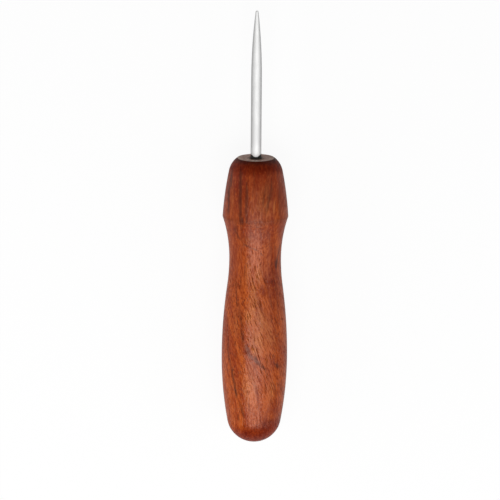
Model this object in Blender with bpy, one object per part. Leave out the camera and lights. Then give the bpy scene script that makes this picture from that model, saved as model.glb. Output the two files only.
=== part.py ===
"""Mini awl: a turned hardwood handle with a round steel needle glued into its nose.

The awl lies on its side along X, resting on its belly and its shoulder, with the point towards +X.
Every outline is drawn in the awl's own plane: x along the axis from the nose face, y out from the axis.
"""

import math

import bmesh
import bpy
from mathutils import Matrix, Vector

# Handle lengths along the axis, from the butt to the nose face
BUTT_DOME_LENGTH = 0.0030
BUTT_TO_BELLY = 0.0103
BELLY_TO_WAIST = 0.0150
WAIST_TO_SHOULDER = 0.0065
SHOULDER_TO_NOSE = 0.0069
NOSE_LENGTH = 0.0020

# Handle diameters, in the same order
BUTT_DIAMETER = 0.0079
BELLY_DIAMETER = 0.00985
WAIST_DIAMETER = 0.00776
SHOULDER_DIAMETER = 0.00985
HEAD_DIAMETER = 0.00805
FACE_DIAMETER = 0.0055

# Handle curves: the hollow of the waist, the crown of the head, and the eased edges
WAIST_RADIUS = 0.0300
HEAD_CROWN_RADIUS = 0.0530
BUTT_EDGE_RADIUS = 0.0030
SHOULDER_EDGE_RADIUS = 0.0003
RIM_EDGE_RADIUS = 0.0002

# Needle
NEEDLE_DIAMETER = 0.0016
NEEDLE_REACH = 0.0223
TAPER_LENGTH = 0.0104
POINT_RADIUS = 0.00022
TANG_DEPTH = 0.0200
TANG_CHAMFER = 0.0003

# Drilled bore, and the glue that fills it and stands up round the needle as a small bead
GLUE_LINE = 0.0001
GLUE_POOL = 0.0006
GLUE_BEAD = 0.00025
FIT_CLEARANCE = 0.00002
DRILL_POINT_ANGLE = math.radians(118)

# Facets round the axis, and along each curve
SEGMENTS = 48
DOME_STEPS = 9
FLANK_STEPS = 7
GRIP_STEPS = 8
NECK_STEPS = 8
HEAD_STEPS = 6
NOSE_STEPS = 7
EDGE_STEPS = 3
OGIVE_STEPS = 12
TIP_STEPS = 4

# Sizes that follow from the ones above
HANDLE_LENGTH = (
    BUTT_DOME_LENGTH + BUTT_TO_BELLY + BELLY_TO_WAIST + WAIST_TO_SHOULDER + SHOULDER_TO_NOSE + NOSE_LENGTH
)
OVERALL_LENGTH = HANDLE_LENGTH + NEEDLE_REACH
NEEDLE_RADIUS = NEEDLE_DIAMETER / 2
BORE_RADIUS = NEEDLE_RADIUS + GLUE_LINE
BORE_DEPTH = TANG_DEPTH + GLUE_POOL
DRILL_POINT_SLOPE = 1 / math.tan(DRILL_POINT_ANGLE / 2)
FACET_HALF_ANGLE = math.pi / SEGMENTS
REST_RADIUS = max(BELLY_DIAMETER, SHOULDER_DIAMETER) / 2 * math.cos(FACET_HALF_ANGLE)

FORWARD = Vector((1, 0))
BACKWARD = Vector((-1, 0))
OUTWARD = Vector((0, 1))

SHARP_ANGLE = math.radians(25)
WELD_DISTANCE = 0.000001


def tangent_arc(start, direction, end, steps):
    """Points of the arc that leaves start along direction and ends at end, both ends included."""
    chord = end - start
    side = Vector((-direction.y, direction.x))
    half_turn = math.atan2(chord.dot(side), chord.dot(direction))
    radius = chord.length / (2 * math.sin(half_turn))
    points = []
    for step in range(steps + 1):
        turn = 2 * half_turn * step / steps
        points.append(start + direction * radius * math.sin(turn) + side * radius * (1 - math.cos(turn)))
    return points


def arrival(start, direction, end):
    """The direction in which that arc reaches end: its first direction mirrored in the chord."""
    chord = (end - start).normalized()
    return chord * (2 * direction.dot(chord)) - direction


def swell(start, end, radius):
    """The direction in which an arc of that radius, bulging outward, leaves start for end."""
    chord = end - start
    return Matrix.Rotation(math.asin(chord.length / (2 * radius)), 2) @ chord.normalized()


def crest_to_hollow(crest, hollow, hollow_radius, steps):
    """Two arcs that meet smoothly, level at the crest and level at the hollow."""
    span = hollow - crest
    both_radii = span.length_squared / (2 * abs(span.y))
    bend = crest + span * (1 - hollow_radius / both_radii)
    falling = tangent_arc(crest, FORWARD, bend, steps)
    levelling = tangent_arc(hollow, BACKWARD, bend, steps)
    return falling + levelling[-2::-1]


def eased_edge(before, corner, after, radius):
    """A small arc in place of the corner, touching both sides and kept within them."""
    into = corner - before
    out = after - corner
    setback = radius * math.tan(into.angle(out) / 2)
    setback = min(setback, into.length / 2, out.length / 2)
    start = corner - into.normalized() * setback
    end = corner + out.normalized() * setback
    return tangent_arc(start, into.normalized(), end, EDGE_STEPS)


def joined(stretches, edge_radii):
    """One outline from stretches that share their end points, with the edges at some joints eased."""
    outline = list(stretches[0])
    for stretch, edge_radius in zip(stretches[1:], edge_radii):
        corner = outline.pop()
        if edge_radius:
            outline += eased_edge(outline[-1], corner, stretch[1], edge_radius)
        else:
            outline.append(corner)
        outline += stretch[1:]
    return outline


def handle_outline():
    """From the butt's pole over the turned outside and the nose face, then down the bore to its point."""
    rim = Vector((0, FACE_DIAMETER / 2))
    head = Vector((-NOSE_LENGTH, HEAD_DIAMETER / 2))
    shoulder = Vector((head.x - SHOULDER_TO_NOSE, SHOULDER_DIAMETER / 2))
    waist = Vector((shoulder.x - WAIST_TO_SHOULDER, WAIST_DIAMETER / 2))
    belly = Vector((waist.x - BELLY_TO_WAIST, BELLY_DIAMETER / 2))
    butt_edge = Vector((belly.x - BUTT_TO_BELLY, BUTT_DIAMETER / 2))
    butt = Vector((butt_edge.x - BUTT_DOME_LENGTH, 0))
    mouth = Vector((0, BORE_RADIUS))
    bore_end = Vector((-BORE_DEPTH, BORE_RADIUS))
    drill_point = Vector((-BORE_DEPTH - BORE_RADIUS * DRILL_POINT_SLOPE, 0))

    head_start = swell(shoulder, head, HEAD_CROWN_RADIUS)
    nose_start = arrival(shoulder, head_start, head)
    stretches = [
        tangent_arc(butt, OUTWARD, butt_edge, DOME_STEPS),
        tangent_arc(belly, BACKWARD, butt_edge, FLANK_STEPS)[::-1],
        crest_to_hollow(belly, waist, WAIST_RADIUS, GRIP_STEPS),
        tangent_arc(waist, FORWARD, shoulder, NECK_STEPS),
        tangent_arc(shoulder, head_start, head, HEAD_STEPS),
        tangent_arc(head, nose_start, rim, NOSE_STEPS),
        [rim, mouth, bore_end, drill_point],
    ]
    return joined(stretches, [BUTT_EDGE_RADIUS, 0, 0, SHOULDER_EDGE_RADIUS, 0, RIM_EDGE_RADIUS])


def needle_outline():
    """From the tang's end along the shaft, over the long tapered point to its small round tip."""
    taper_start = Vector((NEEDLE_REACH - TAPER_LENGTH, NEEDLE_RADIUS))
    tip_centre = Vector((NEEDLE_REACH - POINT_RADIUS, 0))
    tip = Vector((NEEDLE_REACH, 0))

    # The taper is an arc tangent to the shaft and to the round tip
    taper_run = TAPER_LENGTH - POINT_RADIUS
    taper_fall = NEEDLE_RADIUS - POINT_RADIUS
    taper_radius = (taper_run**2 + NEEDLE_RADIUS**2 - POINT_RADIUS**2) / (2 * taper_fall)
    tip_turn = math.asin(taper_run / (taper_radius - POINT_RADIUS))
    tip_edge = tip_centre + Vector((math.sin(tip_turn), math.cos(tip_turn))) * POINT_RADIUS

    tang = [
        Vector((-TANG_DEPTH, 0)),
        Vector((-TANG_DEPTH, NEEDLE_RADIUS - TANG_CHAMFER)),
        Vector((-TANG_DEPTH + TANG_CHAMFER, NEEDLE_RADIUS)),
        taper_start,
    ]
    taper = tangent_arc(taper_start, FORWARD, tip_edge, OGIVE_STEPS)
    point = tangent_arc(tip_edge, arrival(taper_start, FORWARD, tip_edge), tip, TIP_STEPS)
    return joined([tang, taper, point], [0, 0])


def glue_outline():
    """A thin cup round the tang: out along the bore, over the bead, and back down along the tang."""
    outer = BORE_RADIUS - FIT_CLEARANCE
    inner = NEEDLE_RADIUS + FIT_CLEARANCE
    pool_end = -BORE_DEPTH + FIT_CLEARANCE
    tang_seat = -TANG_DEPTH - FIT_CLEARANCE
    return [
        Vector((pool_end - outer * DRILL_POINT_SLOPE, 0)),
        Vector((pool_end, outer)),
        Vector((0, outer)),
        Vector((GLUE_BEAD, inner)),
        Vector((tang_seat, inner)),
        Vector((tang_seat, 0)),
    ]


def turned(name, outline, material, axis):
    """A solid of revolution about the axis empty's X, from an outline that starts and ends on the axis."""
    mesh = bpy.data.meshes.new(name)
    bm = bmesh.new()
    verts = [bm.verts.new((point.x, 0, point.y)) for point in outline]
    edges = [bm.edges.new(pair) for pair in zip(verts, verts[1:])]
    bmesh.ops.spin(
        bm,
        geom=verts + edges,
        cent=(0, 0, 0),
        axis=(1, 0, 0),
        angle=2 * math.pi,
        steps=SEGMENTS,
        use_merge=True,
    )
    bmesh.ops.remove_doubles(bm, verts=bm.verts, dist=WELD_DISTANCE)
    bmesh.ops.recalc_face_normals(bm, faces=bm.faces)
    bm.to_mesh(mesh)
    bm.free()
    mesh.shade_smooth()
    mesh.set_sharp_from_angle(angle=SHARP_ANGLE)
    mesh.materials.append(material)
    solid = bpy.data.objects.new(name, mesh)
    solid.parent = axis
    bpy.context.collection.objects.link(solid)
    return solid


def surface(name, colour, roughness, metallic=0.0, coat=0.0):
    """A Principled material for one piece."""
    material = bpy.data.materials.new(name)
    material.use_nodes = True
    shader = material.node_tree.nodes["Principled BSDF"]
    shader.inputs["Base Color"].default_value = (*colour, 1.0)
    shader.inputs["Roughness"].default_value = roughness
    shader.inputs["Metallic"].default_value = metallic
    shader.inputs["Coat Weight"].default_value = coat
    material.diffuse_color = (*colour, 1.0)
    return material


def awl_axis():
    """The empty at the nose face that carries the pieces, turned so that a facet lies flat on the table."""
    axis = bpy.data.objects.new("awl_axis", None)
    axis.location = (OVERALL_LENGTH / 2 - NEEDLE_REACH, 0, REST_RADIUS)
    axis.rotation_euler = (FACET_HALF_ANGLE, 0, 0)
    bpy.context.collection.objects.link(axis)
    return axis


def build_awl():
    for old in list(bpy.data.objects):
        bpy.data.objects.remove(old, do_unlink=True)
    wood = surface("lacquered_wood", (0.30, 0.075, 0.028), 0.45, coat=0.8)
    steel = surface("polished_steel", (0.62, 0.62, 0.61), 0.18, metallic=1.0)
    glue = surface("dark_glue", (0.012, 0.010, 0.009), 0.35)
    axis = awl_axis()
    turned("turned_handle", handle_outline(), wood, axis)
    turned("steel_needle", needle_outline(), steel, axis)
    turned("glue_sleeve", glue_outline(), glue, axis)


build_awl()
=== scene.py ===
"""Looks for the mini awl: lacquered red-brown hardwood, a polished steel needle and dark glue at its foot.

Every piece is turned again, finely, from the outline of its CAD node, so it stays where the frame puts it.
Materials work in the awl's own millimetres, measured from its axis: x towards the point, y across, z up.
"""

import math
from types import SimpleNamespace

import bmesh
import bpy
from mathutils import Matrix, Vector

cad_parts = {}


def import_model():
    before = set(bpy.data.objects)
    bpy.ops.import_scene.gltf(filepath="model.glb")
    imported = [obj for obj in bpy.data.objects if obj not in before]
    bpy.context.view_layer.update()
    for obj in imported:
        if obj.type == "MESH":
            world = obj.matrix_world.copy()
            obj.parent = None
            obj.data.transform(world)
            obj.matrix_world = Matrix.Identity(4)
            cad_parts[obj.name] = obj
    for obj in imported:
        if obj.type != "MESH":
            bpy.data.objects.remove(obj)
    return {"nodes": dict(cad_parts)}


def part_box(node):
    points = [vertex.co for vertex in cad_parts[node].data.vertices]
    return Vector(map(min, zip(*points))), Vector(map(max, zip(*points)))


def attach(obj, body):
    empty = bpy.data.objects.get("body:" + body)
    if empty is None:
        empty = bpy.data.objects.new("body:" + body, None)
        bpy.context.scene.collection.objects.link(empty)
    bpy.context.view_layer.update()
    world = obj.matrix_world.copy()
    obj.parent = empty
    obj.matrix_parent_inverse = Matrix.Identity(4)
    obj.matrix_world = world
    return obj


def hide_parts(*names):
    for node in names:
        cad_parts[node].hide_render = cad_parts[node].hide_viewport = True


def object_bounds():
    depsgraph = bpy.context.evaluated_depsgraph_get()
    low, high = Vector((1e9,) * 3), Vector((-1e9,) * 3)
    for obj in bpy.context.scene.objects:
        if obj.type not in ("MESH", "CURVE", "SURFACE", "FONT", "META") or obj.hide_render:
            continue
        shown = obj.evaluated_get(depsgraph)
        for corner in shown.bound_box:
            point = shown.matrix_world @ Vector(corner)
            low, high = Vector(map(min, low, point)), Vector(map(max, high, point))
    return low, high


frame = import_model()
cad_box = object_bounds()

MILLIMETRES = 1000
WHITE = (1.0, 1.0, 1.0, 1.0)

# Fineness of the turned pieces
TURN_SEGMENTS = 160
CURVE_STEPS = 4
SHARP_ANGLE = math.radians(30)
WELD_DISTANCE = 0.0000005

# Reading an outline from a CAD mesh: its sides, and what counts as facing one, as one ring, as one step
OUTSIDE = 1
INSIDE = -1
LEAST_FACING = 0.000004
SAME_RING = 0.000004
SAME_STEP = 0.01

# Camera: it stands off towards the point, and the picture's up is the awl's +X
IMAGE_PIXELS = 500
CAMERA_TILT = math.radians(12.8)
CAMERA_ROLL = math.radians(0.44)
CAMERA_DISTANCE = 0.9
PIXELS_PER_METRE = 6677
AWL_MIDDLE_PIXEL = (255.37, 227.43)
SENSOR_WIDTH = 0.036

# Main lights: a softbox above, towards the butt, and a dimmer card turned to the picture's right
SOFTBOX_HEIGHT = 0.26
SOFTBOX_X = (-0.270, -0.014)
SOFTBOX_Y = (-0.116, 0.156)
SOFTBOX_RADIANCE = 3.06
CARD_TURN = math.radians(46)
CARD_DISTANCE = 0.35
CARD_X = (-0.400, -0.014)
CARD_WIDTH = 0.33
CARD_RADIANCE = 0.85

# Low fills on both sides, turned from overhead
FILL_DISTANCE = 0.30
FILL_X = (-0.250, 0.200)
FILL_WIDTH = 0.18
LEFT_FILL_TURN = math.radians(-72)
LEFT_FILL_RADIANCE = 2.25
RIGHT_FILL_TURN = math.radians(62)
RIGHT_FILL_RADIANCE = 0.95

# Lights for the needle: a wide tent, and a narrower band of the same length
TENT_HEIGHT = 0.12
TENT_X = (-0.60, 0.60)
TENT_Y = (-1.00, 1.00)
TENT_RADIANCE = 0.86
BAND_HEIGHT = 0.10
BAND_Y = (-0.084, 0.046)
BAND_RADIANCE = 0.54

# Floor and background: white to the camera, dim in reflections, and the floor still takes the awl's shadow
FLOOR_SIZE = 4.0
FLOOR_COLOUR = (0.48, 0.48, 0.48, 1.0)
FLOOR_COLOUR_TO_CAMERA = (0.95, 0.95, 0.95, 1.0)
FLOOR_WHITE_TO_CAMERA = 0.92
WHITE_IN_REFLECTIONS = 0.17
WORLD_RADIANCE = 0.07

# Grain, in millimetres: it runs straight in the head, leans across the belly, and dives under both ends
LEAN_X = (-29.0, -3.0)
LEAN_SHIFT = 6.8
DIVE_MIDDLE = -13.0
DIVE_RADIUS = 60.0
GRAIN_WOBBLE = (0.0, 0.9, 0.9)
PITH = (0.0, 25.0, -1.0)

# Patterns of the wood: features in a millimetre, along the fibres and across them
WOBBLE_FINENESS = (0.11, 0.35)
LAYER_FINENESS = (0.035, 0.8)
CLOUD_FINENESS = (0.10, 0.30)
FIBRE_FINENESS = (0.40, 4.5)
GRIT_FINENESS = (1.8, 4.2)
MARK_EDGE_FINENESS = (0.5, 2.4)

# The middle value of noise, and the slice of it that the growth layers show
NOISE_MIDDLE = (0.5, 0.5, 0.5)
LAYER_SLICE = 3.1

# Pores: their cells' fineness, the share of cells with one, and how soft that choice and an edge are
NARROW_PORES = ((0.36, 4.2), 0.60)
WIDE_PORES = ((0.34, 2.9), 0.18)
PORE_CHANCE_BLUR = 0.15
PORE_EDGE = (0.36, 0.14)

# Where the pores start to weaken and are weakest, along x in millimetres, and the share that is left there
PORES_WEAKEN = ((-8.0, 0.0, 0.40), (-20.0, -29.0, 0.45))

# Wood colours
LIGHT_WOOD = (0.485, 0.091, 0.010, 1.0)
MID_WOOD = (0.365, 0.054, 0.0042, 1.0)
PALE_WOOD = (0.60, 0.168, 0.035, 1.0)
RED_WOOD = (0.18, 0.015, 0.0022, 1.0)
DARK_WOOD = (0.070, 0.013, 0.005, 1.0)
PORE_WOOD = (0.090, 0.016, 0.006, 1.0)
# The nose face's end grain, made paler and greyer by a painted sheen of the light it reflects at a grazing
# view
DARK_FACE_AND_SHEEN = (0.47, 0.275, 0.22, 1.0)
PALE_FACE_AND_SHEEN = (0.80, 0.58, 0.47, 1.0)
# Painted highlight along the rounded rim of the nose face
RIM_PAINTED_HIGHLIGHT = (0.62, 0.44, 0.36, 1.0)
SHEEN_OF_FIBRES = (1.0, 0.80, 0.45, 1.0)

# What the dark ends multiply the wood's colour by: on the nose partly stain in the end grain and partly
# painted shade, and on the rim of the nose face and on the dome painted shade
NOSE_STAIN_AND_SHADE = (0.62, 0.41, 0.58, 1.0)
RIM_PAINTED_SHADE = (0.42, 0.42, 0.50, 1.0)
DOME_PAINTED_SHADE = (0.58, 0.36, 0.38, 1.0)

# Tints by a pattern's value: where the tint starts, where it is full, and its strength there
LIGHT_LAYERS = (0.34, 0.62, 1.0)
RED_LAYERS = (0.44, 0.32, 0.35)
RED_CLOUDS = (0.50, 0.70, 0.30)
RED_FIBRES = (0.55, 0.34, 0.55)
RED_GRIT = (0.50, 0.34, 0.45)
LIGHT_GRIT = (0.52, 0.70, 0.50)
PALE_RINGS = (0.40, 0.58, 1.0)
DARK_LINES = (0.030, 0.004, 0.20)

# The layers' value at a dark line, the share of grit in the end grain's rings, and how strongly pores show
LINE_LAYER = 0.47
GRIT_IN_RINGS = 0.4
PORE_STRENGTH = 0.70
FACE_PORE_STRENGTH = 0.50

# Tints along x, in millimetres, in the same form: painted shade over the head and over the dome; and how
# far the dome's painted shade slants with y, reaching further up on the right (-y)
HEAD_PAINTED_SHADE = (0.5, 7.0, 0.55)
DOME_DARKENS = (-28.8, -30.6, 1.0)
DOME_SLANT = 0.25

# The nose darkens along x, in millimetres, with streaks by the fibres' value, and both dark ends are ragged
NOSE_DARKENS = (8.3, 9.5)
NOSE_STREAKS = (0.62, 0.40)
NOSE_STRENGTH = (0.75, 1.10)
END_RAGGED = 1.2

# Painted shade: a dark line in the crease at the shoulder ridge, along x in millimetres
RIDGE_STARTS = (1.0, 1.7)
RIDGE_ENDS = (2.4, 1.8)
RIDGE_SHADE_STRENGTH = 0.25

# Tints by how far the surface faces the point, in the same form: painted shade and a painted highlight on
# the nose face's rim, and the nose face itself
RIM_DARKENS = (0.55, 0.80, 0.85)
RIM_PALES = (0.83, 0.92, 0.80)
NOSE_FACE = (0.97, 0.995, 1.0)

# Lacquer: its spots by grit and fibres added up, and its weight off and on them
COAT_SPOTS = (0.80, 1.16)
COAT_WEIGHT = (0.32, 0.74)
WOOD_ROUGHNESS = (0.36, 0.56)

# The share of the lacquer that is left where it thins, and where the dome's thins, along x in millimetres
COAT_IN_PORES = 0.2
COAT_ON_NOSE = 0.4
COAT_ON_DOME = 0.5
DOME_COAT_THINS = (-29.2, -30.6)

# Bumps: strength, and depth in metres
WOOD_BUMP = (0.9, 0.00004)
STEEL_BUMP = (0.1, 0.000004)
GLUE_BUMP = (0.5, 0.00002)
FIBRE_HEIGHT = 0.6

# Marks on the wood: middle (x, y, z), half sizes along and across, turn about z in degrees, strength
VEINS = (
    ((-13.1, 2.1, 4.1), (2.4, 0.28), 8, 0.45),
    ((-15.9, 1.75, 4.4), (1.9, 0.38), 12, 0.50),
    ((-17.6, 1.1, 4.7), (1.5, 0.48), 30, 0.55),
    ((-18.6, 0.55, 4.8), (1.2, 0.45), 45, 0.50),
    ((-19.4, -0.3, 4.8), (1.5, 0.50), 48, 0.60),
    ((-20.4, -1.3, 4.7), (1.0, 0.40), 50, 0.55),
    ((-19.2, 3.8, 3.0), (2.2, 0.20), 9, 0.50),
    ((-22.6, 3.1, 3.6), (3.0, 0.26), 11, 0.65),
    ((-24.4, 2.8, 3.8), (1.4, 0.30), 12, 0.85),
    ((-26.6, 2.0, 4.1), (1.6, 0.22), 20, 0.45),
    ((-20.4, -3.4, 3.4), (0.9, 0.32), 35, 0.80),
    ((-4.9, -3.2, 2.1), (1.3, 0.24), -6, 0.85),
    ((-3.5, -3.45, 1.8), (1.9, 0.18), -10, 0.55),
    ((-10.0, 2.75, 3.3), (4.5, 0.11), 2, 0.50),
    ((-6.5, 1.6, 3.6), (1.8, 0.11), 0, 0.45),
    ((-17.0, 3.9, 2.9), (2.5, 0.13), 4, 0.50),
    ((5.5, 4.0, 2.0), (4.6, 0.26), 0, 0.75),
    ((5.5, 2.25, 3.6), (4.8, 0.32), 1, 0.75),
    ((2.2, 2.05, 4.2), (1.4, 0.30), 14, 0.70),
    ((5.2, 1.3, 4.1), (3.6, 0.28), 1, 0.60),
    ((6.0, -2.35, 3.6), (2.4, 0.26), 0, 0.40),
    ((4.5, -3.55, 2.8), (4.5, 0.28), 0, 0.40),
    ((5.4, -2.05, 3.95), (2.7, 0.26), -10, 0.58),
    ((5.2, -1.2, 4.3), (2.9, 0.22), -7, 0.34),
    ((-0.4, 2.65, 3.3), (1.6, 0.20), 30, 0.60),
    ((-1.9, 1.4, 3.9), (0.9, 0.18), 66, 0.50),
    ((-2.5, 0.0, 4.1), (0.9, 0.18), 68, 0.50),
    ((-3.2, -0.9, 4.0), (0.7, 0.15), 45, 0.50),
    ((1.1, 0.2, 4.4), (1.3, 0.12), 88, 0.45),
    ((0.4, 2.9, 3.2), (2.2, 0.50), 4, 0.30),
    ((8.0, 2.25, 3.4), (2.4, 0.34), 0, 0.75),
    ((3.0, 2.2, 4.1), (2.6, 0.34), 3, 0.75),
    ((7.8, 3.65, 2.0), (2.2, 0.28), -4, 0.70),
    ((3.3, 1.35, 4.4), (2.0, 0.30), 2, 0.60),
    ((-28.7, 2.3, 3.2), (0.9, 0.25), 15, 0.50),
    ((-27.6, 1.75, 3.9), (1.4, 0.20), 20, 0.50),
)
STAINS = (
    # This mark deepens the nose's dark end: partly stain, partly painted shade
    ((7.4, 2.6, 3.0), (3.5, 1.5), 0, 0.85),
    ((3.2, 2.9, 3.2), (2.0, 0.8), 0, 0.60),
    # This mark deepens the nose's dark end: partly stain, partly painted shade
    ((9.0, -1.0, 2.8), (1.2, 0.9), 0, 0.50),
    ((-0.3, 1.5, 4.2), (2.0, 2.6), 0, 0.75),
    ((-0.2, -1.8, 4.2), (2.2, 2.6), 0, 0.75),
    ((0.4, 3.2, 2.8), (3.4, 1.8), 0, 0.95),
    ((2.2, 3.3, 3.0), (1.8, 1.4), 0, 0.60),
    ((0.6, -3.4, 2.6), (2.6, 1.2), 0, 0.65),
    ((-3.5, 3.1, 2.6), (8.5, 1.7), 0, 0.70),
    ((-8.0, -2.8, 2.8), (8.5, 1.5), 4, 0.95),
    ((-7.2, -2.3, 3.3), (4.2, 1.6), 4, 0.95),
    ((-8.8, -1.4, 4.0), (1.6, 0.9), 10, 0.90),
    ((-19.8, -3.0, 3.6), (2.4, 1.2), 30, 0.90),
    ((-18.4, 0.9, 4.8), (2.2, 0.7), 36, 0.50),
    # Painted shade: this mark and the next darken the dome's right side, where less light falls
    ((-29.2, -2.0, 3.2), (3.2, 2.6), 0, 0.70),
    ((-27.3, -2.8, 3.4), (2.2, 1.4), 0, 0.95),
    ((-20.8, -3.8, 2.8), (1.6, 0.8), 20, 0.60),
    # Painted shade: this mark darkens the middle of the dome
    ((-31.2, -0.4, 2.6), (2.2, 2.6), 0, 0.70),
)
PALES = (
    ((5.0, 3.45, 2.7), (4.5, 0.40), 0, 0.60),
    ((6.2, -1.6, 4.1), (2.4, 0.28), -13, 0.90),
    ((4.2, -2.75, 3.7), (2.2, 0.32), -10, 0.90),
    ((4.8, -1.0, 4.2), (3.8, 2.2), 0, 0.80),
    ((-1.0, 1.1, 4.1), (1.2, 0.8), 0, 0.80),
    ((-6.4, -0.6, 3.8), (1.8, 0.8), 0, 0.80),
    ((-6.0, 1.0, 3.8), (3.5, 0.7), 0, 0.60),
    ((-10.2, 0.2, 4.4), (4.2, 1.1), 8, 1.00),
    ((-11.4, 0.2, 4.5), (1.8, 1.2), 0, 1.00),
    ((-12.8, 0.9, 4.5), (2.0, 0.9), 0, 1.00),
    ((-13.2, -1.0, 4.6), (5.0, 1.4), 17, 0.75),
    ((-16.4, -0.6, 4.9), (3.0, 1.6), 20, 1.00),
    ((-15.6, -2.3, 4.4), (3.2, 1.2), 15, 0.80),
    ((-24.4, -2.6, 3.8), (3.0, 0.8), 0, 0.60),
    ((-17.8, 0.0, 4.9), (1.4, 0.8), 20, 1.00),
    ((-14.0, 2.9, 3.6), (2.6, 0.5), 8, 0.50),
    ((-23.4, 0.9, 4.7), (4.4, 1.6), 6, 0.70),
)

# Half sizes of the marks down into the wood, in millimetres
VEIN_DEPTH = 1.6
STAIN_DEPTH = 3.0

# In half sizes from a mark's middle: the gradient's end, the rim, how ragged it is, and the full core
MARK_REACH = 2.0
MARK_RIM = 1.1
MARK_RAGGED = 0.8
VEIN_CORE = 0.2
STAIN_CORE = -0.2

# Steel: ground lengthwise, with dull patches, and a painted highlight that brightens its foot beside the
# dark nose, along x in millimetres
STEEL = (0.66, 0.66, 0.656, 1.0)
DULL_STEEL = (0.62, 0.62, 0.616, 1.0)
PAINTED_FOOT_HIGHLIGHT = (0.79, 0.79, 0.785, 1.0)
SCRATCH_FINENESS = (0.3, 6.0)
PATCH_FINENESS = (0.5, 1.0)
BRIGHT_PATCHES = (0.35, 0.70, 1.0)
FOOT_BRIGHTENS = (13.4, 11.2, 1.0)
STEEL_ROUGHNESS = (0.43, 0.53)

# Glue; a painted dark reflection of the nose face on the needle's foot; and a darker patch on the nose face
# round the needle, in millimetres
DARK_GLUE = (0.014, 0.013, 0.012, 1.0)
PALE_GLUE = (0.036, 0.033, 0.031, 1.0)
PAINTED_FOOT_REFLECTION = (0.04, 0.038, 0.036, 1.0)
DARK_NEAR_NEEDLE = (0.05, 0.030, 0.018, 1.0)
GLUE_FINENESS = (6.0, 6.0)
GLUE_ROUGHNESS = (0.25, 0.55)
FOOT_REFLECTION_LOW = 10.70
FOOT_REFLECTION_CLIMB = 0.72
FOOT_REFLECTION_FADE = 0.16
NEAR_NEEDLE_MIDDLE_Z = 0.50
NEAR_NEEDLE_NARROWS = 1.3
NEAR_NEEDLE_RAGGED = 1.0
NEAR_NEEDLE_FADES = (2.45, 1.45, 1.0)

axis_middle = (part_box("turned_handle")[0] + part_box("turned_handle")[1]) / 2
awl_middle = Vector(((cad_box[0][0] + cad_box[1][0]) / 2, axis_middle.y, axis_middle.z))


def outline(node, side):
    """The rings on one side of a turned CAD node, as (x, radius) in the order of x."""
    mesh = frame["nodes"][node].data
    rings = set()
    for face in mesh.polygons:
        middle = face.center - axis_middle
        if side * face.normal.yz.dot(middle.yz) > LEAST_FACING * middle.yz.length:
            for index in face.vertices:
                place = mesh.vertices[index].co - axis_middle
                rings.add((place.x + axis_middle.x, place.yz.length))
    points = []
    for ring in sorted(rings):
        point = Vector(ring)
        if not points or (point - points[-1]).length > SAME_RING:
            points.append(point)
    return points


def step_turn(before, after):
    """How far an outline turns from one chord to the next, if both are equal steps of one arc."""
    if abs(before.length - after.length) > SAME_STEP * before.length:
        return 0.0
    return math.atan2(before.cross(after), before.dot(after))


def smooth(points):
    """The outline's arcs in finer steps. A chord with no equal neighbour is a straight line, and stays."""
    chords = [b - a for a, b in zip(points, points[1:])]
    turns = [0.0] + [step_turn(before, after) for before, after in zip(chords, chords[1:])] + [0.0]
    fine = []
    for start, chord, turn_before, turn_after in zip(points, chords, turns, turns[1:]):
        turn = turn_before or turn_after
        for step in range(CURVE_STEPS if turn else 1):
            part = step / CURVE_STEPS
            reach = math.sin(turn * part / 2) / math.sin(turn / 2) if turn else part
            swing = Matrix.Rotation(turn * (part - 1) / 2, 2)
            fine.append(start + swing @ chord * reach)
    return fine + [points[-1]]


def on_axis(point):
    """The point's place on the axis, where a flat end closes."""
    return Vector((point.x, 0))


def turned(name, points, node, material):
    """A finely turned piece that stands for a CAD node."""
    mesh = bpy.data.meshes.new(name)
    bm = bmesh.new()
    verts = [bm.verts.new((p.x, axis_middle.y, axis_middle.z + p.y)) for p in points]
    edges = [bm.edges.new(pair) for pair in zip(verts, verts[1:])]
    bmesh.ops.spin(
        bm,
        geom=verts + edges,
        cent=axis_middle,
        axis=(1, 0, 0),
        angle=2 * math.pi,
        steps=TURN_SEGMENTS,
        use_merge=True,
    )
    bmesh.ops.remove_doubles(bm, verts=bm.verts, dist=WELD_DISTANCE)
    bmesh.ops.recalc_face_normals(bm, faces=bm.faces)
    bm.to_mesh(mesh)
    bm.free()
    mesh.shade_smooth()
    mesh.set_sharp_from_angle(angle=SHARP_ANGLE)
    mesh.materials.append(material)
    piece = bpy.data.objects.new(name, mesh)
    bpy.context.collection.objects.link(piece)
    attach(piece, "root")
    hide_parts(node)
    return piece


def set_inputs(tree, node, inputs):
    """Links or sets a node's inputs, by name or number."""
    for name, value in inputs.items():
        if isinstance(value, bpy.types.NodeSocket):
            tree.links.new(value, node.inputs[name])
        else:
            node.inputs[name].default_value = value


def add(tree, kind, inputs=None, **settings):
    """A shader node with its settings and inputs."""
    node = tree.nodes.new("ShaderNode" + kind)
    for name, value in settings.items():
        setattr(node, name, value)
    set_inputs(tree, node, inputs or {})
    return node


def calc(tree, operation, *values):
    """The result of a Math node."""
    return add(tree, "Math", dict(enumerate(values)), operation=operation).outputs[0]


def vector_calc(tree, operation, *values):
    """The result of a Vector Math node."""
    output = "Value" if operation == "LENGTH" else "Vector"
    return add(tree, "VectorMath", dict(enumerate(values)), operation=operation).outputs[output]


def vector(tree, x, y, z):
    """A vector from three values."""
    return add(tree, "CombineXYZ", {"X": x, "Y": y, "Z": z}).outputs[0]


def split(tree, place):
    """The x, y and z of a vector."""
    return add(tree, "SeparateXYZ", {0: place}).outputs


def rise(tree, value, low, high):
    """0 below low, 1 above high and smooth between, which needs no clamp. High may be below low."""
    inputs = {"Value": value, "From Min": low, "From Max": high}
    return add(tree, "MapRange", inputs, interpolation_type="SMOOTHSTEP", clamp=False).outputs[0]


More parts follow.
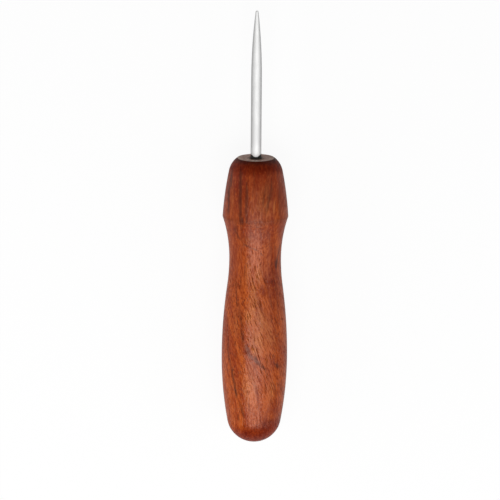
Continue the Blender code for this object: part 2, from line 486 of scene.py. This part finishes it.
def between(tree, pattern, low, high):
    """A value that goes from low to high as a pattern goes from 0 to 1."""
    return calc(tree, "MULTIPLY_ADD", pattern, high - low, low)


def weakened(tree, value, pattern, left):
    """A value that falls to the share left where a pattern shows."""
    return calc(tree, "MULTIPLY", value, between(tree, pattern, 1.0, left))


def mixed(tree, factor, first, second, blend="MIX"):
    """A mix of two colours, which are sockets 6 and 7 of a Mix node."""
    inputs = {0: factor, 6: first, 7: second}
    return add(tree, "Mix", inputs, data_type="RGBA", blend_type=blend).outputs[2]


def shaded(tree, colour, mask, strength, shade, blend="MIX"):
    """A colour with another laid over it where a mask shows."""
    return mixed(tree, calc(tree, "MULTIPLY", mask, strength), colour, shade, blend)


def tinted(tree, colour, pattern, reach, tint, blend="MIX"):
    """A colour with another laid over it by a pattern's value: its reach is (start, full, strength)."""
    start, full, strength = reach
    return shaded(tree, colour, rise(tree, pattern, start, full), strength, tint, blend)


def noise(tree, place, detail=2.0, roughness=0.5, output="Fac"):
    """Noise with features about one unit of the place wide."""
    inputs = {"Vector": place, "Scale": 1.0, "Detail": detail, "Roughness": roughness}
    return add(tree, "TexNoise", inputs).outputs[output]


def bumped(tree, height, strength, depth):
    """The surface's normal, tilted by a height."""
    return add(tree, "Bump", {"Strength": strength, "Distance": depth, "Height": height}).outputs[0]


def new_material(name):
    """A new node material, with its tree and its Principled shader."""
    material = bpy.data.materials.new(name)
    material.use_nodes = True
    tree = material.node_tree
    return material, tree, tree.nodes["Principled BSDF"]


def awl_place(tree):
    """The place in millimetres from the awl's axis."""
    place = add(tree, "TexCoord").outputs["Object"]
    moved = vector_calc(tree, "SUBTRACT", place, (0, axis_middle.y, axis_middle.z))
    return vector_calc(tree, "MULTIPLY", moved, (MILLIMETRES,) * 3)


def stretched(tree, place, fineness):
    """The place in a pattern that is stretched along the fibres."""
    along, across = fineness
    return vector_calc(tree, "MULTIPLY", place, (along, across, across))


def grain_place(tree):
    """The place in the grain: along the fibres, across them, and the depth."""
    x, y, z = split(tree, awl_place(tree))
    shift = calc(tree, "MULTIPLY", rise(tree, x, *LEAN_X), LEAN_SHIFT)
    place = vector(tree, x, calc(tree, "SUBTRACT", y, shift), z)
    wobble = noise(tree, stretched(tree, place, WOBBLE_FINENESS), output="Color")
    centred = vector_calc(tree, "SUBTRACT", wobble, NOISE_MIDDLE)
    return vector_calc(tree, "MULTIPLY_ADD", centred, GRAIN_WOBBLE, place)


def fibre_place(tree, grain):
    """The same, with the fibres diving under the surface away from the belly, which cuts them short."""
    x = split(tree, awl_place(tree))[0]
    past = calc(tree, "SUBTRACT", x, DIVE_MIDDLE)
    dive = calc(tree, "MULTIPLY", calc(tree, "MULTIPLY", past, past), 0.5 / DIVE_RADIUS)
    return vector_calc(tree, "ADD", grain, vector(tree, 0.0, 0.0, dive))


def growth_layers(tree, grain):
    """Noise that is the same along each growth layer. The layers curve round a pith outside the handle."""
    spoke = vector_calc(tree, "SUBTRACT", grain, PITH)
    distance = vector_calc(tree, "LENGTH", vector_calc(tree, "MULTIPLY", spoke, (0, 1, 1)))
    place = vector(tree, split(tree, grain)[0], distance, LAYER_SLICE)
    place = vector_calc(tree, "MULTIPLY", place, (*LAYER_FINENESS, 1.0))
    return noise(tree, place, detail=3.0, roughness=0.55)


def pore_marks(tree, fibre, fineness, share):
    """Short dark dashes along the fibres, in a share of the cells."""
    cells = add(tree, "TexVoronoi", {"Vector": stretched(tree, fibre, fineness), "Scale": 1.0}).outputs
    chance = add(tree, "SeparateColor", {0: cells["Color"]}).outputs[0]
    picked = rise(tree, chance, share + PORE_CHANCE_BLUR, share - PORE_CHANCE_BLUR)
    return calc(tree, "MULTIPLY", picked, rise(tree, cells["Distance"], *PORE_EDGE))


def all_pores(tree, fibre, x):
    """Narrow and wide pores, weaker in the head and towards the butt."""
    narrow = pore_marks(tree, fibre, *NARROW_PORES)
    shown = calc(tree, "MAXIMUM", narrow, pore_marks(tree, fibre, *WIDE_PORES))
    for start, weakest, left in PORES_WEAKEN:
        shown = weakened(tree, shown, rise(tree, x, start, weakest), left)
    return shown


def drawn_marks(tree, marks, depth, core):
    """Marks from a list, with ragged edges: 1 in the middle of the strongest, and 0 away from them all."""
    place = awl_place(tree)
    ragged = noise(tree, stretched(tree, place, MARK_EDGE_FINENESS), detail=3.0)
    far_away = between(tree, ragged, MARK_REACH - MARK_RAGGED, MARK_REACH + MARK_RAGGED)
    shown = 0.0
    for middle, (along, across), turn, strength in marks:
        inputs = {
            "Vector": place,
            "Location": middle,
            "Rotation": (0, 0, math.radians(turn)),
            "Scale": Vector((along, across, depth)) * MARK_REACH,
        }
        local = add(tree, "Mapping", inputs, vector_type="TEXTURE").outputs[0]
        nearness = add(tree, "TexGradient", {"Vector": local}, gradient_type="SPHERICAL").outputs["Fac"]
        distance = calc(tree, "MULTIPLY_ADD", nearness, -MARK_REACH, far_away)
        mark = calc(tree, "MULTIPLY", rise(tree, distance, MARK_RIM, core), strength)
        shown = calc(tree, "MAXIMUM", shown, mark)
    return shown


def wood_patterns(tree):
    """What the wood's looks come from: the place, the patterns there, and how far it faces the point."""
    wood = SimpleNamespace()
    grain = grain_place(tree)
    fibre = fibre_place(tree, grain)
    wood.x, wood.y, wood.z = split(tree, awl_place(tree))
    wood.layers = growth_layers(tree, grain)
    wood.clouds = noise(tree, stretched(tree, grain, CLOUD_FINENESS))
    wood.fibres = noise(tree, stretched(tree, fibre, FIBRE_FINENESS), detail=3.0, roughness=0.6)
    wood.grit = noise(tree, stretched(tree, fibre, GRIT_FINENESS), roughness=0.6)
    wood.pores = all_pores(tree, fibre, wood.x)
    wood.facing = split(tree, add(tree, "NewGeometry").outputs["Normal"])[0]
    wood.ragged_x = calc(tree, "ADD", wood.x, between(tree, wood.fibres, -END_RAGGED, END_RAGGED))
    wood.nose = rise(tree, wood.ragged_x, *NOSE_DARKENS)
    return wood


def side_grain(tree, wood):
    """The colour of the wood along the handle, with painted shade over the head, on the dome's right side
    and along the shoulder ridge.
    """
    colour = tinted(tree, MID_WOOD, wood.layers, LIGHT_LAYERS, LIGHT_WOOD)
    colour = tinted(tree, colour, wood.clouds, RED_CLOUDS, RED_WOOD)
    colour = mixed(tree, drawn_marks(tree, PALES, STAIN_DEPTH, STAIN_CORE), colour, PALE_WOOD)
    colour = mixed(tree, drawn_marks(tree, STAINS, STAIN_DEPTH, STAIN_CORE), colour, RED_WOOD)
    from_line = calc(tree, "ABSOLUTE", calc(tree, "SUBTRACT", wood.layers, LINE_LAYER))
    for pattern, reach, tint in (
        # Painted shade over the head, towards the nose
        (wood.x, HEAD_PAINTED_SHADE, RED_WOOD),
        (wood.layers, RED_LAYERS, RED_WOOD),
        (wood.fibres, RED_FIBRES, RED_WOOD),
        (wood.grit, RED_GRIT, RED_WOOD),
        (wood.grit, LIGHT_GRIT, LIGHT_WOOD),
        (from_line, DARK_LINES, DARK_WOOD),
    ):
        colour = tinted(tree, colour, pattern, reach, tint)
    colour = shaded(tree, colour, wood.pores, PORE_STRENGTH, PORE_WOOD)
    colour = mixed(tree, drawn_marks(tree, VEINS, VEIN_DEPTH, VEIN_CORE), colour, DARK_WOOD)
    # Painted shade along the ridge's crease
    ridge_shade = calc(tree, "MULTIPLY", rise(tree, wood.x, *RIDGE_STARTS), rise(tree, wood.x, *RIDGE_ENDS))
    return shaded(tree, colour, ridge_shade, RIDGE_SHADE_STRENGTH, DARK_WOOD)


def ends_stained_and_shaded(tree, wood, colour):
    """A colour with darker ends: on the nose partly stain and partly painted shade, painted shade on the
    dome, darker to the right, painted shade under the nose face's rim, and a painted highlight along that
    rim.
    """
    streaks = rise(tree, wood.fibres, *NOSE_STREAKS)
    colour = shaded(tree, colour, wood.nose, between(tree, streaks, *NOSE_STRENGTH), NOSE_STAIN_AND_SHADE, "MULTIPLY")
    slanted_x = calc(tree, "MULTIPLY_ADD", wood.y, DOME_SLANT, wood.ragged_x)
    colour = tinted(tree, colour, slanted_x, DOME_DARKENS, DOME_PAINTED_SHADE, "MULTIPLY")
    colour = tinted(tree, colour, wood.facing, RIM_DARKENS, RIM_PAINTED_SHADE, "MULTIPLY")
    return tinted(tree, colour, wood.facing, RIM_PALES, RIM_PAINTED_HIGHLIGHT)


def end_grain(tree, wood):
    """The colour of the bare nose face: layers end on, paled by a painted sheen, pores, and darker round
    the needle.
    """
    rings = calc(tree, "MULTIPLY", wood.layers, 1.0 - GRIT_IN_RINGS)
    rings = calc(tree, "MULTIPLY_ADD", wood.grit, GRIT_IN_RINGS, rings)
    colour = tinted(tree, DARK_FACE_AND_SHEEN, rings, PALE_RINGS, PALE_FACE_AND_SHEEN)
    colour = shaded(tree, colour, wood.pores, FACE_PORE_STRENGTH, PORE_WOOD)
    # Darker round the needle, reaching further up (+z) than to the sides
    aside = calc(tree, "MULTIPLY", wood.y, NEAR_NEEDLE_NARROWS)
    above = calc(tree, "SUBTRACT", wood.z, NEAR_NEEDLE_MIDDLE_Z)
    distance = vector_calc(tree, "LENGTH", vector(tree, 0.0, aside, above))
    distance = calc(tree, "MULTIPLY_ADD", wood.grit, NEAR_NEEDLE_RAGGED, distance)
    return tinted(tree, colour, distance, NEAR_NEEDLE_FADES, DARK_NEAR_NEEDLE)


def lacquer(tree, wood):
    """The weight of the lacquer: spotty, thin in the pores, and thinner on the rounded ends."""
    spots = rise(tree, calc(tree, "ADD", wood.grit, wood.fibres), *COAT_SPOTS)
    coat = between(tree, spots, *COAT_WEIGHT)
    dome = rise(tree, wood.ragged_x, *DOME_COAT_THINS)
    for pattern, left in ((wood.pores, COAT_IN_PORES), (wood.nose, COAT_ON_NOSE), (dome, COAT_ON_DOME)):
        coat = weakened(tree, coat, pattern, left)
    return coat


def wood_material():
    """Stained hardwood under lacquer."""
    material, tree, shader = new_material("lacquered_wood")
    wood = wood_patterns(tree)
    colour = ends_stained_and_shaded(tree, wood, side_grain(tree, wood))
    colour = tinted(tree, colour, wood.facing, NOSE_FACE, end_grain(tree, wood))
    coat = lacquer(tree, wood)
    raised = calc(tree, "MULTIPLY", calc(tree, "ADD", wood.fibres, wood.grit), FIBRE_HEIGHT)
    normal = bumped(tree, calc(tree, "SUBTRACT", raised, wood.pores), *WOOD_BUMP)
    looks = {
        "Base Color": colour,
        "Roughness": between(tree, wood.fibres, *WOOD_ROUGHNESS),
        "Normal": normal,
        "Specular IOR Level": 0.04,
        "Specular Tint": SHEEN_OF_FIBRES,
        "Coat Weight": coat,
        "Coat Roughness": 0.26,
        "Coat IOR": 1.5,
        "Coat Normal": normal,
    }
    set_inputs(tree, shader, looks)
    return material


def steel_material():
    """Steel ground lengthwise, brightened at its foot by a painted highlight, with a painted dark
    reflection of the nose face that climbs the sides of the foot.
    """
    material, tree, shader = new_material("polished_steel")
    place = awl_place(tree)
    x, y, z = split(tree, place)
    round_axis = vector_calc(tree, "NORMALIZE", vector(tree, 0.0, y, z))
    round_axis = vector_calc(tree, "ADD", round_axis, vector(tree, x, 0.0, 0.0))
    scratches = noise(tree, stretched(tree, round_axis, SCRATCH_FINENESS))
    patches = noise(tree, stretched(tree, place, PATCH_FINENESS), detail=3.0)
    colour = tinted(tree, DULL_STEEL, patches, BRIGHT_PATCHES, STEEL)
    # Painted highlight: the foot is brightened where the dark nose would dim its reflections
    colour = tinted(tree, colour, x, FOOT_BRIGHTENS, PAINTED_FOOT_HIGHLIGHT)
    # Painted reflection: a dark band, the nose face's reflection, climbs the sides of the foot
    reflection_top = calc(tree, "MULTIPLY_ADD", calc(tree, "ABSOLUTE", y), FOOT_REFLECTION_CLIMB, FOOT_REFLECTION_LOW)
    foot_reflection = rise(tree, calc(tree, "SUBTRACT", x, reflection_top), FOOT_REFLECTION_FADE, 0.0)
    looks = {
        "Base Color": mixed(tree, foot_reflection, colour, PAINTED_FOOT_REFLECTION),
        "Metallic": 1.0,
        "Roughness": between(tree, scratches, *STEEL_ROUGHNESS),
        "Anisotropic": 0.3,
        "Tangent": add(tree, "Tangent", direction_type="RADIAL", axis="X").outputs[0],
        "Normal": bumped(tree, scratches, *STEEL_BUMP),
    }
    set_inputs(tree, shader, looks)
    return material


def glue_material():
    """Set glue, dark and lumpy."""
    material, tree, shader = new_material("dark_glue")
    lumps = noise(tree, stretched(tree, awl_place(tree), GLUE_FINENESS), detail=3.0)
    looks = {
        "Base Color": mixed(tree, lumps, DARK_GLUE, PALE_GLUE),
        "Roughness": between(tree, lumps, *GLUE_ROUGHNESS),
        "Normal": bumped(tree, lumps, *GLUE_BUMP),
    }
    set_inputs(tree, shader, looks)
    return material


def seen_white(tree, shares):
    """How much of a surface shows plain white to each kind of ray."""
    rays = add(tree, "LightPath").outputs
    share = 0.0
    for name, amount in shares.items():
        share = calc(tree, "MAXIMUM", share, calc(tree, "MULTIPLY", rays[name], amount))
    return share


def floor():
    """A wide white floor under the awl."""
    bpy.ops.mesh.primitive_plane_add(size=FLOOR_SIZE, location=(0, 0, cad_box[0][2]))
    plane = bpy.context.object
    plane.name = "floor"
    material, tree, shader = new_material("white_floor")
    tree.nodes.remove(shader)
    to_camera = add(tree, "LightPath").outputs["Is Camera Ray"]
    colour = mixed(tree, to_camera, FLOOR_COLOUR, FLOOR_COLOUR_TO_CAMERA)
    diffuse = add(tree, "BsdfDiffuse", {"Color": colour})
    white = add(tree, "Emission", {"Color": WHITE, "Strength": 1.0})
    shares = {
        "Is Camera Ray": FLOOR_WHITE_TO_CAMERA,
        "Is Glossy Ray": WHITE_IN_REFLECTIONS,
        "Is Transmission Ray": WHITE_IN_REFLECTIONS,
    }
    share = seen_white(tree, shares)
    mix = add(tree, "MixShader", {0: share, 1: diffuse.outputs[0], 2: white.outputs[0]})
    tree.links.new(mix.outputs[0], tree.nodes["Material Output"].inputs["Surface"])
    plane.data.materials.append(material)


def area_light(name, place, target, length, width, radiance):
    """A rectangular light of even brightness, facing the target with its length along X."""
    light = bpy.data.lights.new(name, "AREA")
    light.shape = "RECTANGLE"
    light.size = length
    light.size_y = width
    light.energy = radiance * math.pi * length * width
    lamp = bpy.data.objects.new(name, light)
    lamp.location = place
    back = (Vector(place) - Vector(target)).normalized()
    along = Vector((1, 0, 0))
    lamp.rotation_euler = Matrix((along, back.cross(along), back)).transposed().to_euler()
    bpy.context.collection.objects.link(lamp)
    return lamp


def side_card(name, turn, distance, x_span, width, radiance):
    """A rectangular light to one side, turned from overhead about the awl."""
    middle = Vector((sum(x_span) / 2, 0, 0))
    outward = Vector((0, -math.sin(turn), math.cos(turn)))
    return area_light(name, middle + outward * distance, middle, x_span[1] - x_span[0], width, radiance)


def overhead_light(name, height, x_span, y_span, radiance):
    """A level rectangular light above."""
    x, y = (sum(span) / 2 for span in (x_span, y_span))
    length, width = (high - low for low, high in (x_span, y_span))
    return area_light(name, (x, y, height), (x, y, 0), length, width, radiance)


def main_lights(needle):
    """The softbox and the card. They leave the needle out, because polished steel clips under them."""
    softbox = overhead_light("softbox", SOFTBOX_HEIGHT, SOFTBOX_X, SOFTBOX_Y, SOFTBOX_RADIANCE)
    card = side_card("right_card", CARD_TURN, CARD_DISTANCE, CARD_X, CARD_WIDTH, CARD_RADIANCE)
    all_but_needle = bpy.data.collections.new("all_but_needle")
    all_but_needle.objects.link(needle)
    all_but_needle.collection_objects[0].light_linking.link_state = "EXCLUDE"
    for lamp in (softbox, card):
        lamp.light_linking.receiver_collection = all_but_needle


def fill_lights():
    """Low lights on both sides, which don't show in reflections."""
    for name, turn, radiance in (
        ("left_fill", LEFT_FILL_TURN, LEFT_FILL_RADIANCE),
        ("right_fill", RIGHT_FILL_TURN, RIGHT_FILL_RADIANCE),
    ):
        fill = side_card(name, turn, FILL_DISTANCE, FILL_X, FILL_WIDTH, radiance)
        fill.visible_glossy = False


def needle_lights(needle):
    """Overhead lights for the needle alone."""
    needle_alone = bpy.data.collections.new("needle_alone")
    needle_alone.objects.link(needle)
    for name, height, y_span, radiance in (
        ("needle_tent", TENT_HEIGHT, TENT_Y, TENT_RADIANCE),
        ("needle_band", BAND_HEIGHT, BAND_Y, BAND_RADIANCE),
    ):
        lamp = overhead_light(name, height, TENT_X, y_span, radiance)
        lamp.light_linking.receiver_collection = needle_alone


def world():
    """Dim all round, and white where the camera looks past the floor."""
    sky = bpy.data.worlds.new("studio")
    sky.use_nodes = True
    tree = sky.node_tree
    shares = {"Is Camera Ray": 1.0, "Is Glossy Ray": WHITE_IN_REFLECTIONS, "Is Transmission Ray": 1.0}
    strength = between(tree, seen_white(tree, shares), WORLD_RADIANCE, 1.0)
    set_inputs(tree, tree.nodes["Background"], {"Color": WHITE, "Strength": strength})
    bpy.context.scene.world = sky


def camera():
    """A distant camera, aimed so that the awl's middle falls on its pixel."""
    back = Vector((math.sin(CAMERA_TILT), 0, math.cos(CAMERA_TILT)))
    level_up = Vector((math.cos(CAMERA_TILT), 0, -math.sin(CAMERA_TILT)))
    level_right = level_up.cross(back)
    right = level_right * math.cos(CAMERA_ROLL) + level_up * math.sin(CAMERA_ROLL)
    up = level_up * math.cos(CAMERA_ROLL) - level_right * math.sin(CAMERA_ROLL)
    aside = (AWL_MIDDLE_PIXEL[0] - IMAGE_PIXELS / 2) / PIXELS_PER_METRE
    above = (IMAGE_PIXELS / 2 - AWL_MIDDLE_PIXEL[1]) / PIXELS_PER_METRE
    lens = bpy.data.cameras.new("camera")
    lens.sensor_width = SENSOR_WIDTH * MILLIMETRES
    lens.lens = SENSOR_WIDTH * MILLIMETRES * PIXELS_PER_METRE * CAMERA_DISTANCE / IMAGE_PIXELS
    view = bpy.data.objects.new("camera", lens)
    view.matrix_world = Matrix((right, up, back)).transposed().to_4x4()
    view.location = awl_middle + back * CAMERA_DISTANCE - right * aside - up * above
    bpy.context.collection.objects.link(view)
    bpy.context.scene.camera = view


handle_points = smooth(outline("turned_handle", OUTSIDE)) + outline("turned_handle", INSIDE)[::-1]
handle = turned("handle", handle_points, "turned_handle", wood_material())
needle_points = smooth(outline("steel_needle", OUTSIDE))
needle = turned("needle", [on_axis(needle_points[0])] + needle_points, "steel_needle", steel_material())
glue_points = outline("glue_sleeve", OUTSIDE) + outline("glue_sleeve", INSIDE)[::-1]
glue = turned("glue", glue_points + [on_axis(glue_points[-1])], "glue_sleeve", glue_material())

camera()
floor()
main_lights(needle)
fill_lights()
needle_lights(needle)
world()

bpy.context.scene.view_settings.view_transform = "Standard"
